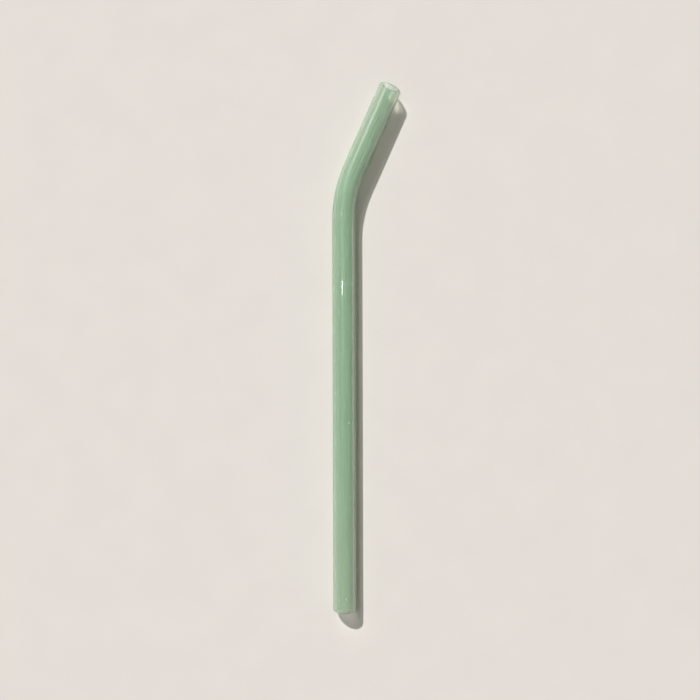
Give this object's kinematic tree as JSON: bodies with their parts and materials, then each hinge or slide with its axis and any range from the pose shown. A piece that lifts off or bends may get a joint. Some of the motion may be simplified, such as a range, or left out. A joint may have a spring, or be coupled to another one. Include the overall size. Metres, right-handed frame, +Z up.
{
  "type": "bent glass drinking straw",
  "caption": "Reusable glass drinking straw: one round tube of milky mint-green glass, bent once near the mouth end, with both lips melted round.",
  "frame": {"origin": "on the surface that the straw lies on, under the middle of its box", "axes": "+Y along the long arm, from its foot towards the bend; +X to the side that the short arm bends to; +Z up from the surface"},
  "size_m": [0.0266, 0.2036, 0.009],
  "materials": {
    "glass": "glossy milky mint-green glass"
  },
  "bodies": {
    "root": {"straw": "glass"}
  },
  "joints": []
}
